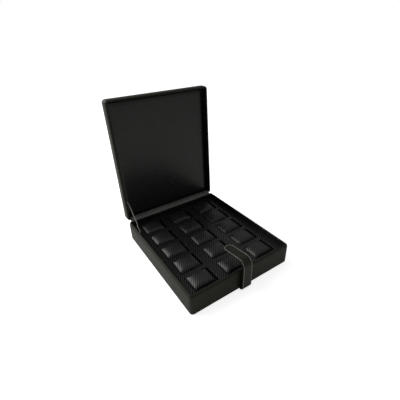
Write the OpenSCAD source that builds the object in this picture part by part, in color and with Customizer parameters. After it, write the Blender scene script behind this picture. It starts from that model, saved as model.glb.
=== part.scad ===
// Fifteen-place watch storage case with a leather-hinged lid and a strap closure.
// Millimetres, +Z up. The origin is the centre of the underside; the strap side faces -Y.
// The lid is drawn open, as the case stands on display.

/* [Case] */
// Width of the case, left to right
case_w = 280; // [230:1:360]
// Depth of the case, front to back
case_d = 320; // [265:1:400]
// Height of the base, floor to rim
base_h = 54; // [46:1:75]
// Height of the lid, rim to top
lid_h = 24; // [20:1:40]
// Radius of the vertical corners, outside
corner_r = 8; // [5:0.5:12]
// Thickness of the wall and bottom boards
board_t = 4; // [3:0.5:5]
// Thickness of the outer covering
cover_t = 0.8; // [0.6:0.1:1.2]
// Thickness of the lining on the walls
lining_t = 0.7; // [0.5:0.1:1.2]
// Gap between the closed rims
parting_gap = 0.3; // [0.2:0.1:1]
// Angle of the open lid from closed
open_angle = 92; // [80:1:110]

/* [Tray] */
// Drop from the rim to the deck
deck_drop = 16; // [12:1:22]
// Columns of wells, left to right
columns = 3; // [2:1:3]
// Rows of wells, front to back
rows = 5; // [2:1:5]
// Deck between the side walls and the wells
deck_edge_x = 19.25; // [12:0.25:24]
// Deck between the end walls and the wells
deck_edge_y = 14.5; // [10:0.5:20]
// Deck between two columns
deck_strip_x = 23; // [12:0.5:28]
// Deck between two rows
deck_strip_y = 12.5; // [8:0.5:16]
// Thickness of the deck covering
deck_t = 0.8; // [0.6:0.1:1.5]
// Thickness of the card on the floor of the tray
floor_t = 1; // [0.8:0.1:2]

/* [Pillows] */
// Height of a pillow above the deck
pillow_rise = 8; // [4:0.5:10]
// Clear space at the left of a pillow
pillow_gap_left = 2.25; // [1:0.25:5]
// Clear space at the right of a pillow, for the watch case
pillow_gap_right = 7.25; // [4.5:0.25:10]
// Clear space at each end of a pillow, for the bracelet
pillow_gap_end = 1.5; // [1:0.25:4]
// Radius of a pillow's long edges
pillow_edge_r = 9; // [5:0.5:12]

/* [Strap] */
// Width of the strap
strap_w = 26.5; // [18:0.5:40]
// Thickness of the strap
strap_t = 3.2; // [2.4:0.2:5]
// Distance from the front of the case to the face of the strap
strap_standoff = 10.5; // [8:0.5:16]
// Outside radius of the bend over the lid
strap_bend_r = 17; // [12:0.5:20]
// Length of the flat end, from the bend to the start of the round tip
strap_reach = 46; // [30:1:60]
// Fall of the flat end from level
strap_droop = 8; // [0:1:10]
// Space between the closed lid and the strap over it
strap_clearance = 0.5; // [0.5:0.1:4]
// Depth of the strap's root under the case
strap_root = 36; // [24:1:60]

/* [Hinge and stay] */
// Width of the leather strips on the outside of the hinge
hinge_flap = 20; // [14:1:23]
// Height of the inner hinge leather on the back wall of the lid
hinge_turn_in = 12; // [6:0.5:14]
// Thickness of the hinge leather
hinge_t = 0.8; // [0.6:0.1:0.8]
// Diameter of the stay cord
stay_d = 1.8; // [1.2:0.1:2.5]
// Distance of the stay cord's ends from the hinge line
stay_reach = 56; // [50:1:70]

/* [Hidden] */
$fn = 48;
cut = 1;                      // how far a cutter passes its surface

leather = [0.13, 0.13, 0.13];
lining = [0.17, 0.17, 0.17];
board = [0.55, 0.43, 0.30];
hinge_leather = [0.30, 0.30, 0.29];
steel = [0.60, 0.60, 0.62];

// Case levels and plan
wall_t = cover_t + board_t + lining_t;
inner_w = case_w - 2 * wall_t;
inner_d = case_d - 2 * wall_t;
inner_r = max(1.5, corner_r - wall_t);
underside_t = 1;
underside_inset = 4;
underside_fit = 0.5;          // backing board inside the covering folded under
bond = 0.01;                  // overlap that joins two blocks of one piece
turn_under = 16;              // covering folded under the bottom board
bottom_z = underside_t + cover_t;
tray_z = bottom_z + board_t;
rail_z = tray_z + floor_t;
deck_z = base_h - deck_drop;
hinge_recess = 1;             // rear rims lie lower by the hinge leather and its clearance
hinge_short = 0.4;            // inner hinge leather stops short of the fold line
fold_clear = 1.3;             // half of the free fold in the outer leather

// Wells
well_w = (inner_w - 2 * deck_edge_x - (columns - 1) * deck_strip_x) / columns;
well_l = (inner_d - 2 * deck_edge_y - (rows - 1) * deck_strip_y) / rows;
pitch_x = well_w + deck_strip_x;
pitch_y = well_l + deck_strip_y;
function well_x(c) = -inner_w / 2 + deck_edge_x + c * pitch_x;
function well_y(r) = -inner_d / 2 + deck_edge_y + r * pitch_y;

bar_fit = 0.02;               // gap at each end of a cross bar

// Lid, measured closed from its rim plane at z = 0 up to lid_h
pad_t = 5;
lid_board_z = lid_h - cover_t - board_t;
pad_z = lid_board_z - pad_t;
pad_inset = 0.5;

// Strap, in the plane of its length
strap_face_y = -case_d / 2 - strap_standoff;
strap_top_z = base_h + parting_gap + lid_h + strap_clearance + strap_t;
bend_y = strap_face_y + strap_bend_r;
bend_z = strap_top_z - strap_bend_r;
root_z = underside_t + 0.2;
root_bend_r = min(8.5, strap_standoff - 0.5);
root_bend_y = strap_face_y + root_bend_r;
root_bend_z = root_z + root_bend_r;
arc_steps = 10;               // facets in a bend of the strap
split_angle = 45;             // where the bend divides lower strap from tip
split_gap = 0.02;
root_t = 0.75 * strap_t;      // the leather is thinned where it lies under the case
root_slack = 0.3;             // clearance of the strap's root in its pocket
tack_r = 1.5;
tack_head_r = 3;
tack_head_t = 0.15;
tack_inset = 8;               // from the inner end of the root
tack_short = 0.1;             // board left over a tack's point
keeper_r = 9;
keeper_t = 1;
magnet_r = 5;
magnet_t = 1.4;
tip_r = strap_w / 2 + 0.4;    // a little over half the width, so the tip meets the sides at an angle

// Stay cord: it leaves each eyelet square to the wall, turns, and runs on to the other eyelet
stay_x = -inner_w / 2;
stay_depth = 6;               // anchors' distance from the rims
stay_turn = 2.05 * stay_d;    // radius of the turn at each eyelet
stay_turn_step = 22.5;
stay_sides = 8;
eyelet_r = 3;
eyelet_t = 1.2;
// Between the turns: share of the way, sag below the straight line, distance from the wall
stay_course = [
    [0.09, 0.8, 5.3], [0.15, 1.4, 5.8], [0.21, 1.9, 6.2], [0.27, 2.3, 6.5], [0.33, 2.6, 6.3],
    [0.39, 2.7, 6.4], [0.45, 2.6, 6.6], [0.51, 2.5, 6.3], [0.57, 2.6, 6.0], [0.63, 2.5, 6.2],
    [0.69, 2.2, 6.4], [0.75, 1.8, 6.2], [0.81, 1.4, 5.7], [0.87, 1.0, 5.3], [0.92, 0.6, 5.0]
];

// ---------- shared shapes ----------

// Rounded rectangle, centred
module plan(w, d, r) {
    straight_w = w - 2 * r;
    straight_d = d - 2 * r;
    square([w, straight_d], center = true);
    square([straight_w, d], center = true);
    for (sx = [-1, 1], sy = [-1, 1])
        translate([sx * straight_w / 2, sy * straight_d / 2]) circle(r);
}

// Block on a rounded plan, inset from the case's outline, from one level to another
module slab(inset, z0, z1) {
    translate([0, 0, z0])
        linear_extrude(z1 - z0)
            plan(case_w - 2 * inset, case_d - 2 * inset, max(1.5, corner_r - inset));
}

// Front (-1) or rear (1) wall board
module end_wall(side, z0, z1) {
    edge = case_d / 2 - cover_t;
    intersection() {
        slab(cover_t, z0, z1);
        translate([-case_w / 2, side > 0 ? edge - board_t : -edge, z0 - cut])
            cube([case_w, board_t, z1 - z0 + 2 * cut]);
    }
}

// Left (-1) or right (1) wall board, between the end walls
module side_wall(side, z0, z1) {
    edge = case_w / 2 - cover_t;
    length = case_d - 2 * (cover_t + board_t);
    intersection() {
        slab(cover_t, z0, z1);
        translate([side > 0 ? edge - board_t : -edge, -length / 2, z0 - cut])
            cube([board_t, length, z1 - z0 + 2 * cut]);
    }
}

// Space of the strap's root, from the front of the case inward
module root_pocket() {
    translate([-strap_w / 2 - root_slack, -case_d / 2 - cut, underside_t - cut])
        cube([
            strap_w + 2 * root_slack,
            strap_root + cut + root_slack,
            cut + root_z - underside_t + root_t + root_slack
        ]);
}

// Moves a shape drawn closed, rim at z = 0, to the open lid
module on_lid() {
    translate([0, case_d / 2, base_h])
        rotate([-open_angle, 0, 0])
            translate([0, -case_d / 2, parting_gap])
                children();
}

// Round-headed eyelet on the left wall's inner face, its axis along X
module eyelet() {
    rotate([0, 90, 0])
        rotate_extrude()
            polygon([
                [0, 0], [eyelet_r, 0], [eyelet_r, eyelet_t * 0.5],
                [eyelet_r * 0.8, eyelet_t], [0, eyelet_t]
            ]);
}

// ---------- base ----------

module base_bottom() {
    color(board)
        difference() {
            slab(cover_t, bottom_z, tray_z);
            root_pocket();
            tack_shanks(cut);
        }
}

module base_front_wall() { color(board) end_wall(-1, tray_z, base_h - cover_t); }
module base_rear_wall() { color(board) end_wall(1, tray_z, base_h - cover_t - hinge_recess); }
module base_left_wall() { color(board) side_wall(-1, tray_z, base_h - cover_t); }
module base_right_wall() { color(board) side_wall(1, tray_z, base_h - cover_t); }

// Rear rims are lower, so the covering is cut back there and folded again past the recess
module rear_rim(z0, z1, overcut) {
    translate([-case_w / 2 + corner_r, case_d / 2 - cover_t - board_t - overcut, z0])
        cube([case_w - 2 * corner_r, cover_t + board_t + 2 * overcut, z1 - z0]);
}

// Outer covering: round the sides, over the rims and a little way under the bottom
module base_cover() {
    fold_z = base_h - hinge_recess - cover_t;
    color(leather) {
        difference() {
            slab(0, underside_t, base_h);
            slab(cover_t, bottom_z, base_h - cover_t);
            slab(cover_t + board_t, base_h - cover_t - cut, base_h + cut);
            slab(turn_under, underside_t - cut, bottom_z + cut);
            rear_rim(fold_z, base_h + cut, cut);
            root_pocket();
        }
        rear_rim(fold_z, fold_z + cover_t, 0);
    }
}

// Thin frame inside the walls, from the deck to the rims
module wall_lining(z0, z1, recess) {
    color(lining)
        difference() {
            slab(cover_t + board_t, z0, z1);
            slab(wall_t, z0 - cut, z1 + cut);
            translate([-case_w / 2, case_d / 2 - wall_t - 1, recess])
                cube([case_w, wall_t + 1, z1]);
        }
}

module base_wall_lining() { wall_lining(deck_z, base_h, base_h - hinge_recess - cover_t); }

module base_underside() {
    color(lining) {
        slab(underside_inset, 0, underside_t);
        difference() {
            slab(turn_under + underside_fit, underside_t - bond, bottom_z);
            root_pocket();
        }
    }
}

module tray_floor() { color(board) slab(wall_t - lining_t, tray_z, rail_z); }

// Long foam rails: at the side walls and between the columns
module tray_rails() {
    top = deck_z - deck_t;
    length = inner_d + 2 * lining_t;
    edge = inner_w / 2 + lining_t;
    color("dimgray")
        for (c = [0:columns]) {
            left = c == 0 ? -edge : well_x(c) - deck_strip_x;
            right = c == columns ? edge : well_x(c);
            translate([left, -length / 2, rail_z]) cube([right - left, length, top - rail_z]);
        }
}

// Foam bars across each column, between the rails
module tray_cross_bars() {
    top = deck_z - deck_t;
    edge = inner_d / 2 + lining_t;
    color("dimgray")
        for (c = [0:columns - 1], r = [0:rows]) {
            front = r == 0 ? -edge : well_y(r) - deck_strip_y;
            rear = r == rows ? edge : well_y(r);
            translate([well_x(c) + bar_fit, front, rail_z])
                cube([well_w - 2 * bar_fit, rear - front, top - rail_z]);
        }
}

// Woven-look covering of the deck, with one opening for each well
module deck_lining() {
    color(lining)
        difference() {
            slab(cover_t + board_t, deck_z - deck_t, deck_z);
            for (c = [0:columns - 1], r = [0:rows - 1])
                translate([well_x(c), well_y(r), deck_z - deck_t - cut])
                    cube([well_w, well_l, deck_t + 2 * cut]);
        }
}

// Inner hinge leather: on the rear rim of the base
module inner_hinge_base() {
    color(hinge_leather)
        translate([
            -case_w / 2 + corner_r,
            case_d / 2 - wall_t,
            base_h - hinge_recess
        ])
            cube([case_w - 2 * corner_r, wall_t - hinge_short, hinge_t]);
}

// Outer hinge leather: down the back of the base
module outer_hinge_base() {
    color(hinge_leather)
        translate([-case_w / 2 + corner_r, case_d / 2, base_h - fold_clear - hinge_flap])
            cube([case_w - 2 * corner_r, hinge_t, hinge_flap]);
}

module stay_eyelet_base() {
    color(steel)
        translate([stay_x, case_d / 2 - stay_reach, base_h - stay_depth]) eyelet();
}

// Two flat-headed tacks that hold the strap's root up into the bottom board
module tack_places() {
    for (sx = [-1, 1])
        translate([sx * strap_w / 4, -case_d / 2 + strap_root - tack_inset, root_z]) children();
}

module tack_shanks(extra) {
    tack_places()
        translate([0, 0, -extra]) cylinder(h = tray_z - root_z - tack_short + extra, r = tack_r);
}

module strap_tacks() {
    color(steel) {
        tack_shanks(0);
        tack_places() translate([0, 0, -tack_head_t]) cylinder(h = tack_head_t, r = tack_head_r);
    }
}

// ---------- lid ----------

module lid_board() {
    color(board)
        on_lid()
            difference() {
                slab(cover_t, lid_board_z, lid_h - cover_t);
                keeper_space(cut);
            }
}

module lid_front_wall() { color(board) on_lid() end_wall(-1, cover_t, lid_board_z); }
module lid_rear_wall() { color(board) on_lid() end_wall(1, cover_t + hinge_recess, lid_board_z); }
module lid_left_wall() { color(board) on_lid() side_wall(-1, cover_t, lid_board_z); }
module lid_right_wall() { color(board) on_lid() side_wall(1, cover_t, lid_board_z); }

module lid_cover() {
    color(leather)
        on_lid() {
            difference() {
                slab(0, 0, lid_h);
                slab(cover_t, cover_t, lid_h - cover_t);
                slab(cover_t + board_t, -cut, cover_t + cut);
                rear_rim(-cut, hinge_recess + cover_t, cut);
            }
            rear_rim(hinge_recess, hinge_recess + cover_t, 0);
        }
}

module lid_wall_lining() {
    color(lining)
        on_lid()
            difference() {
                slab(cover_t + board_t, 0, lid_board_z);
                slab(wall_t, -cut, lid_board_z + cut);
                translate([-case_w / 2, case_d / 2 - wall_t - 1, -cut])
                    cube([case_w, wall_t + 1, cut + hinge_turn_in]);
            }
}

// Padded lining panel in the top of the lid
module lid_pad() { color(lining) on_lid() slab(wall_t + pad_inset, pad_z, lid_board_z); }

// Inner hinge leather: over the rear rim of the lid and up its back wall
module inner_hinge_lid() {
    color(hinge_leather)
        on_lid()
            translate([-case_w / 2 + corner_r, case_d / 2 - wall_t, hinge_recess - hinge_t]) {
                cube([case_w - 2 * corner_r, wall_t - hinge_short, hinge_t]);
                cube([case_w - 2 * corner_r, lining_t, hinge_turn_in - hinge_recess + hinge_t]);
            }
}

module outer_hinge_lid() {
    color(hinge_leather)
        on_lid()
            translate([-case_w / 2 + corner_r, case_d / 2, fold_clear])
                cube([case_w - 2 * corner_r, hinge_t, min(hinge_flap, lid_h - fold_clear - 1)]);
}

module stay_eyelet_lid() {
    color(steel) on_lid() translate([stay_x, case_d / 2 - stay_reach, stay_depth]) eyelet();
}

// Steel plate let into the lid's top board, where the strap's magnet closes
module keeper_space(extra) {
    translate([0, -case_d / 2 - strap_standoff + strap_bend_r + strap_reach, lid_h - cover_t - keeper_t])
        cylinder(h = keeper_t + extra, r = keeper_r);
}

module strap_keeper_plate() { color(steel) on_lid() keeper_space(0); }

// ---------- strap ----------

// Draws a shape of the (y, z) plane across the strap's width
module across(width) {
    rotate([90, 0, 90]) translate([0, 0, -width / 2]) linear_extrude(width) children();
}

// Points of an arc round (y, z), between two angles from +Y
function arc(y, z, r, from, to) =
    [for (k = [0:arc_steps]) let (a = from + (to - from) * k / arc_steps) [y + r * cos(a), z + r * sin(a)]];

// The strap's fixed end: under the case, out at the front and round to the upright
module strap_root() {
    inner_end = -case_d / 2 + strap_root;
    color(leather)
        difference() {
            across(strap_w)
                polygon(concat(
                    arc(root_bend_y, root_bend_z, root_bend_r, 180, 270),
                    [[inner_end, root_z], [inner_end, root_z + root_t], [-case_d / 2, root_z + root_t]],
                    arc(root_bend_y, root_bend_z, root_bend_r - strap_t, 270, 180)
                ));
            tack_shanks(cut);
        }
}

// Up the front and half-way round the bend
module strap_lower() {
    color(leather)
        across(strap_w)
            polygon(concat(
                [[strap_face_y + strap_t, root_bend_z + split_gap], [strap_face_y, root_bend_z + split_gap]],
                arc(bend_y, bend_z, strap_bend_r, 180, 180 - split_angle),
                arc(bend_y, bend_z, strap_bend_r - strap_t, 180 - split_angle, 180)
            ));
}

// The other half of the bend and the flat end with its round tip
module strap_tip() {
    from = 180 - split_angle - split_gap;
    to = 90 - strap_droop;
    flat_l = strap_reach + tip_r;
    function beyond(p) = p + flat_l * [cos(strap_droop), -sin(strap_droop)];
    outer = arc(bend_y, bend_z, strap_bend_r, from, to);
    inner = arc(bend_y, bend_z, strap_bend_r - strap_t, to, from);
    color(leather)
        difference() {
            across(strap_w)
                polygon(concat(outer, [beyond(outer[arc_steps]), beyond(inner[0])], inner));
            on_flat_end() tip_corners();
            on_flat_end() magnet_space();
        }
}

// Moves a shape drawn flat, root at the origin and tip towards +Y, onto the strap's flat end
module on_flat_end() {
    translate([0, bend_y, bend_z])
        rotate([-strap_droop, 0, 0])
            translate([0, 0, strap_bend_r - strap_t])
                children();
}

// What is cut off the flat end to leave a round tip
module tip_corners() {
    translate([0, strap_reach, -cut])
        difference() {
            translate([-strap_w, 0, 0]) cube([2 * strap_w, strap_w, strap_t + 2 * cut]);
            cylinder(h = strap_t + 2 * cut, r = tip_r);
        }
}

module magnet_space() {
    translate([0, strap_reach, (strap_t - magnet_t) / 2]) cylinder(h = magnet_t, r = magnet_r);
}

module strap_magnet() { color(steel) on_flat_end() magnet_space(); }

// ---------- stay cord ----------

// Where a point of the closed lid, as (y, z) from its rim plane, is on the open lid
function lid_point(y, z) =
    let (dy = y - case_d / 2, dz = z + parting_gap)
    [
        case_d / 2 + dy * cos(open_angle) + dz * sin(open_angle),
        base_h - dy * sin(open_angle) + dz * cos(open_angle)
    ];

stay_start = [case_d / 2 - stay_reach, base_h - stay_depth];
stay_line = lid_point(case_d / 2 - stay_reach, stay_depth) - stay_start;
stay_l = norm(stay_line);

// A point of the cord: distance along its straight line, sag below it, distance from the wall
function stay_point(along, sag, inward) =
    let (yz = stay_start + along / stay_l * stay_line + sag / stay_l * [stay_line[1], -stay_line[0]])
    [stay_x + inward, yz[0], yz[1]];

function stay_turn_along(a) = stay_turn * (1 - cos(a));
function stay_turn_inward(a) = eyelet_t + stay_turn * sin(a);

stay_route = concat(
    [for (a = [0:stay_turn_step:90]) stay_point(stay_turn_along(a), 0, stay_turn_inward(a))],
    [for (p = stay_course) stay_point(p[0] * stay_l, p[1], p[2])],
    [for (a = [90:-stay_turn_step:0]) stay_point(stay_l - stay_turn_along(a), 0, stay_turn_inward(a))]
);
last_ring = len(stay_route) - 1;

// At its two ends the cord runs square to the wall
function route_ahead(i) =
    i == 0 ? [1, 0, 0]
    : i == last_ring ? [-1, 0, 0]
    : stay_route[i + 1] - stay_route[i - 1];
function unit(v) = v / norm(v);
function ring(i) =
    let (
        along = unit(route_ahead(i)),
        side = unit(cross(along, [0, stay_line[1], -stay_line[0]])),
        up = cross(side, along)
    )
    [for (k = [0:stay_sides - 1])
        let (a = k * 360 / stay_sides)
        stay_route[i] + stay_d / 2 * (cos(a) * side + sin(a) * up)];

module stay_cord() {
    n = stay_sides;
    points = [for (i = [0:last_ring]) each ring(i)];
    faces = concat(
        [[for (k = [0:n - 1]) k]],
        [for (i = [0:last_ring - 1], k = [0:n - 1])
            let (next = (k + 1) % n)
            [i * n + k, (i + 1) * n + k, (i + 1) * n + next, i * n + next]],
        [[for (k = [n - 1:-1:0]) last_ring * n + k]]
    );
    color("lightgray") polyhedron(points, faces);
}

// ---------- pillows ----------

// One pillow, column 1 at the left and row 1 at the front: a loaf lying along Y
module pillow(column, row) {
    w = well_w - pillow_gap_left - pillow_gap_right;
    l = well_l - 2 * pillow_gap_end;
    h = deck_z + pillow_rise - rail_z;
    r = min(pillow_edge_r, w / 3, h / 3);
    color(lining)
        translate([
            well_x(column - 1) + pillow_gap_left,
            well_y(row - 1) + pillow_gap_end + l,
            rail_z
        ])
            rotate([90, 0, 0])
                linear_extrude(l) {
                    translate([r, 0]) square([w - 2 * r, h]);
                    translate([0, r]) square([w, h - 2 * r]);
                    for (x = [r, w - r], z = [r, h - r]) translate([x, z]) circle(r);
                }
}

base_bottom();
base_front_wall();
base_rear_wall();
base_left_wall();
base_right_wall();
base_cover();
base_wall_lining();
base_underside();
tray_floor();
tray_rails();
tray_cross_bars();
deck_lining();
inner_hinge_base();
outer_hinge_base();
stay_eyelet_base();
strap_tacks();
lid_board();
lid_front_wall();
lid_rear_wall();
lid_left_wall();
lid_right_wall();
lid_cover();
lid_wall_lining();
lid_pad();
inner_hinge_lid();
outer_hinge_lid();
stay_eyelet_lid();
strap_keeper_plate();
strap_root();
strap_lower();
strap_tip();
strap_magnet();
stay_cord();
for (column = [1:columns], row = [1:rows])
    pillow(column, row);
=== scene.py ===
"""Visual model of the open watch case: leather shells, woven deck, pillows, hinge, stay cord and strap."""

import math

import bmesh
import bpy
import numpy as np
from mathutils import Matrix, Vector


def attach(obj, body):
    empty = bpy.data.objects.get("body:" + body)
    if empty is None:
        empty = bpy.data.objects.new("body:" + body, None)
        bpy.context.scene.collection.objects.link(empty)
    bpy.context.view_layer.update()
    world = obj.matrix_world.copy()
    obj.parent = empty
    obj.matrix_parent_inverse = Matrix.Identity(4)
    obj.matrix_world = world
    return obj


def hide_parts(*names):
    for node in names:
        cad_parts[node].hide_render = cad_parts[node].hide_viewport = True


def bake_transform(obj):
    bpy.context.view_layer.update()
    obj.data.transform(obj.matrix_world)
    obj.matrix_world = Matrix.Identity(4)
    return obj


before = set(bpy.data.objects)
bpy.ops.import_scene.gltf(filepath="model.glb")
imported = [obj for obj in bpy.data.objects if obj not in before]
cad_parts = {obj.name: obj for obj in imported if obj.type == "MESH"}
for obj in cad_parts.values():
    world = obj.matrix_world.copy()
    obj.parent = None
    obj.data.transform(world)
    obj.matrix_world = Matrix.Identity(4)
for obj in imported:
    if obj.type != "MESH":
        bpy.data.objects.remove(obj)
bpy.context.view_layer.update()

# ---- sizes, in millimetres as in the CAD source ----

MM = 0.001
CASE_W, CASE_D, BASE_H, LID_H = 280.0, 320.0, 54.0, 24.0
CORNER_R = 8.0
COVER_T, BOARD_T, LINING_T = 0.8, 4.0, 0.7
WALL_T = COVER_T + BOARD_T + LINING_T
PARTING_GAP = 0.3
OPEN_ANGLE = math.radians(92)
INNER_W, INNER_D = CASE_W - 2 * WALL_T, CASE_D - 2 * WALL_T
UNDERSIDE_Z = 1.0  # the covering under the base, level with the card
TRAY_Z = UNDERSIDE_Z + COVER_T + BOARD_T
LID_BOARD_Z = LID_H - COVER_T - BOARD_T  # the lid board's inner face, from the lid's rim

DECK_Z = 38.0
COLUMNS, ROWS = 3, 5
DECK_EDGE_X, DECK_EDGE_Y = 19.25, 14.5
DECK_STRIP_X, DECK_STRIP_Y = 23.0, 12.5
WELL_W = (INNER_W - 2 * DECK_EDGE_X - (COLUMNS - 1) * DECK_STRIP_X) / COLUMNS
WELL_L = (INNER_D - 2 * DECK_EDGE_Y - (ROWS - 1) * DECK_STRIP_Y) / ROWS

HINGE_RECESS = 1.0  # how far the rear rims step back for the hinge leather
HINGE_HALF_W = CASE_W / 2 - CORNER_R
HINGE_T = 0.8  # from the stepped-back rims, and from the back, to the hinge leathers' faces
HINGE_TURN_IN = 12.0  # how far the inner hinge leather goes down the lid's rear wall

STRAP_W, STRAP_T = 26.5, 3.2
STRAP_STANDOFF, STRAP_CLEARANCE = 10.5, 0.5
STRAP_FACE_Y = -CASE_D / 2 - STRAP_STANDOFF
STRAP_TOP_Z = BASE_H + PARTING_GAP + LID_H + STRAP_CLEARANCE + STRAP_T
STRAP_BEND_R, STRAP_DROOP, STRAP_REACH = 17.0, 8.0, 46.0  # the droop is in degrees below level
ROOT_Z, ROOT_BEND_R, ROOT_INNER_Y, ROOT_T = 1.2, 8.5, -124.0, 0.75 * STRAP_T
ROOT_LONG = ROOT_INNER_Y - STRAP_FACE_Y - ROOT_BEND_R  # the straight part under the base

LID = (
    Matrix.Translation((0, CASE_D / 2, BASE_H))
    @ Matrix.Rotation(-OPEN_ANGLE, 4, "X")
    @ Matrix.Translation((0, -CASE_D / 2, PARTING_GAP))
)


def smoothstep(t):
    t = min(1.0, max(0.0, t))
    return t * t * (3 - 2 * t)


def quarter_turn(parts, first=1):
    """Angles of a quarter turn in equal parts. first=0 adds its start."""
    return [math.pi / 2 * k / parts for k in range(first, parts + 1)]


def direction(line, i):
    """Which way a line of points goes at its point i."""
    return (line[min(i + 1, len(line) - 1)] - line[max(i - 1, 0)]).normalized()


def assign(thing, **settings):
    for key, value in settings.items():
        setattr(thing, key, value)


# ---- mesh helpers ----


def add_object(name, data):
    obj = bpy.data.objects.new(name, data)
    bpy.context.scene.collection.objects.link(obj)
    return obj


def make(name, points, faces, matrix=None, merge=0.0, sharp=None, cloth=None):
    """A smooth mesh object from points in millimetres. Edges of more than sharp degrees stay sharp. cloth
    says, for each point, where it is on the flat cloth, and becomes the mesh's attribute of that name."""
    matrix = matrix or Matrix.Identity(4)
    bm = bmesh.new()
    layer = bm.verts.layers.float_vector.new("cloth") if cloth else None
    corners = [bm.verts.new((matrix @ Vector(p)) * MM) for p in points]
    for corner, flat in zip(corners, cloth or ()):
        corner[layer] = Vector(flat) * MM
    for face in faces:
        bm.faces.new([corners[i] for i in face])
    if merge:
        bmesh.ops.remove_doubles(bm, verts=bm.verts, dist=merge * MM)
        bmesh.ops.dissolve_degenerate(bm, edges=bm.edges, dist=merge * MM / 2)
    bmesh.ops.recalc_face_normals(bm, faces=bm.faces)
    mesh = bpy.data.meshes.new(name)
    bm.to_mesh(mesh)
    bm.free()
    mesh.shade_smooth()
    if sharp:
        mesh.set_sharp_from_angle(angle=math.radians(sharp))
    return add_object(name, mesh)


def band_faces(a, b, n):
    """Quads between two closed rings of n points, which start at points a and b."""
    return [(a + k, a + (k + 1) % n, b + (k + 1) % n, b + k) for k in range(n)]


def loft(rings, loop=False, caps=False):
    """Points and quads of rings of equally many points. loop joins last to first, caps closes the ends."""
    n = len(rings[0])
    points, faces = [p for ring in rings for p in ring], []
    for i in range(len(rings) if loop else len(rings) - 1):
        faces += band_faces(i * n, (i + 1) % len(rings) * n, n)
    if caps:
        faces += [tuple(range(n - 1, -1, -1)), tuple(range((len(rings) - 1) * n, len(rings) * n))]
    return points, faces


def rounded_loop(x, y, w, d, r, arc_steps, side_steps, near=0.0):
    """Points round a rectangle with rounded corners, from the front right one. x and y are its centre, w and
    d the halves of its straight sides. near adds a point that far from both ends of each side."""
    centres = [(x + w, y - d), (x + w, y + d), (x - w, y + d), (x - w, y - d)]
    points = []
    for corner, (cx, cy) in enumerate(centres):
        for k in range(arc_steps + 1):
            a = math.radians(90 * corner - 90 + 90 * k / arc_steps)
            points.append((cx + r * math.cos(a), cy + r * math.sin(a)))
        (px, py), (nx, ny) = points[-1], centres[(corner + 1) % 4]
        dx, dy = nx + r * math.cos(a) - px, ny + r * math.sin(a) - py
        shares = [k / side_steps for k in range(1, side_steps)]
        if near:
            short = near / math.hypot(dx, dy)
            shares = [short, *shares, 1 - short]
        points += [(px + dx * share, py + dy * share) for share in shares]
    return points


def set_modifier(obj, kind, **settings):
    modifier = obj.modifiers.new(kind.title(), kind)
    assign(modifier, **settings)
    return modifier


def apply_modifier(obj, kind, **settings):
    """Adds a modifier, and leaves its result as the object's mesh."""
    set_modifier(obj, kind, **settings)
    graph = bpy.context.evaluated_depsgraph_get()
    mesh = bpy.data.meshes.new_from_object(obj.evaluated_get(graph))
    obj.modifiers.clear()
    obj.data = mesh


# ---- material helpers ----


class Shader:
    """A node material. Inputs are numbers, colours or other nodes' outputs."""

    def __init__(self, name, **inputs):
        self.material = bpy.data.materials.new(name)
        self.material.use_nodes = True
        self.tree = self.material.node_tree
        self.surface = self.tree.nodes["Principled BSDF"]
        self.set(self.surface, inputs)

    def set(self, node, inputs):
        """Sets inputs by name or number, apart from those that are None."""
        for key, value in inputs.items():
            socket = node.inputs[key.replace("_", " ") if isinstance(key, str) else key]
            if isinstance(value, bpy.types.NodeSocket):
                self.tree.links.new(value, socket)
            elif value is not None:
                socket.default_value = value

    def add(self, kind, out=0, settings=None, **inputs):
        node = self.tree.nodes.new(kind)
        assign(node, **(settings or {}))
        self.set(node, inputs)
        return node.outputs[out]

    def split(self, vector):
        """The three coordinates of a vector."""
        node = self.tree.nodes.new("ShaderNodeSeparateXYZ")
        self.set(node, {0: vector})
        return tuple(node.outputs)

    def math(self, operation, a, b=None):
        node = self.tree.nodes.new("ShaderNodeMath")
        node.operation = operation
        self.set(node, {0: a, 1: b})
        return node.outputs[0]

    def choose(self, share, first, second):
        """Mixes two numbers: first where share is 1, second where it is 0."""
        rest = self.math("MULTIPLY", second, self.math("SUBTRACT", 1.0, share))
        return self.math("ADD", self.math("MULTIPLY", first, share), rest)

    def place(self):
        return self.add("ShaderNodeTexCoord", out="Object")

    def noise(self, scale, detail=2.0, roughness=0.5, vector=None):
        """Noise of about scale lumps to the metre."""
        return self.add(
            "ShaderNodeTexNoise",
            Vector=vector or self.place(), Scale=scale, Detail=detail, Roughness=roughness,
        )

    def ramp(self, value, low, high, start=0.0, end=1.0):
        """Maps start..end of value to low..high."""
        return self.add(
            "ShaderNodeMapRange",
            Value=value, From_Min=start, From_Max=end, To_Min=low, To_Max=high,
        )

    def blend(self, share, first, second):
        """Mixes two colours. A mix node's colours are its inputs 6 and 7, and its output 2."""
        node = self.tree.nodes.new("ShaderNodeMix")
        node.data_type = "RGBA"
        self.set(node, {0: share, 6: first, 7: second})
        return node.outputs[2]

    def bump(self, height, distance, strength, normal=None):
        return self.add(
            "ShaderNodeBump", Height=height, Distance=distance * MM, Strength=strength, Normal=normal,
        )

    def finish(self, **inputs):
        self.set(self.surface, inputs)
        return self.material


def grey(value, warmth=0.0, olive=0.0):
    """A grey a little towards orange (warmth) or towards yellow-green (olive)."""
    return (value * (1 + warmth), value, value * (1 - warmth) * (1 - olive), 1)


# Scales of noise, to the metre
WEAR, LUMPS, FOLDS, WAVES, SPOTS, FUZZ, PORES = 14, 18, 26, 30, 260, 900, 2600


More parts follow.
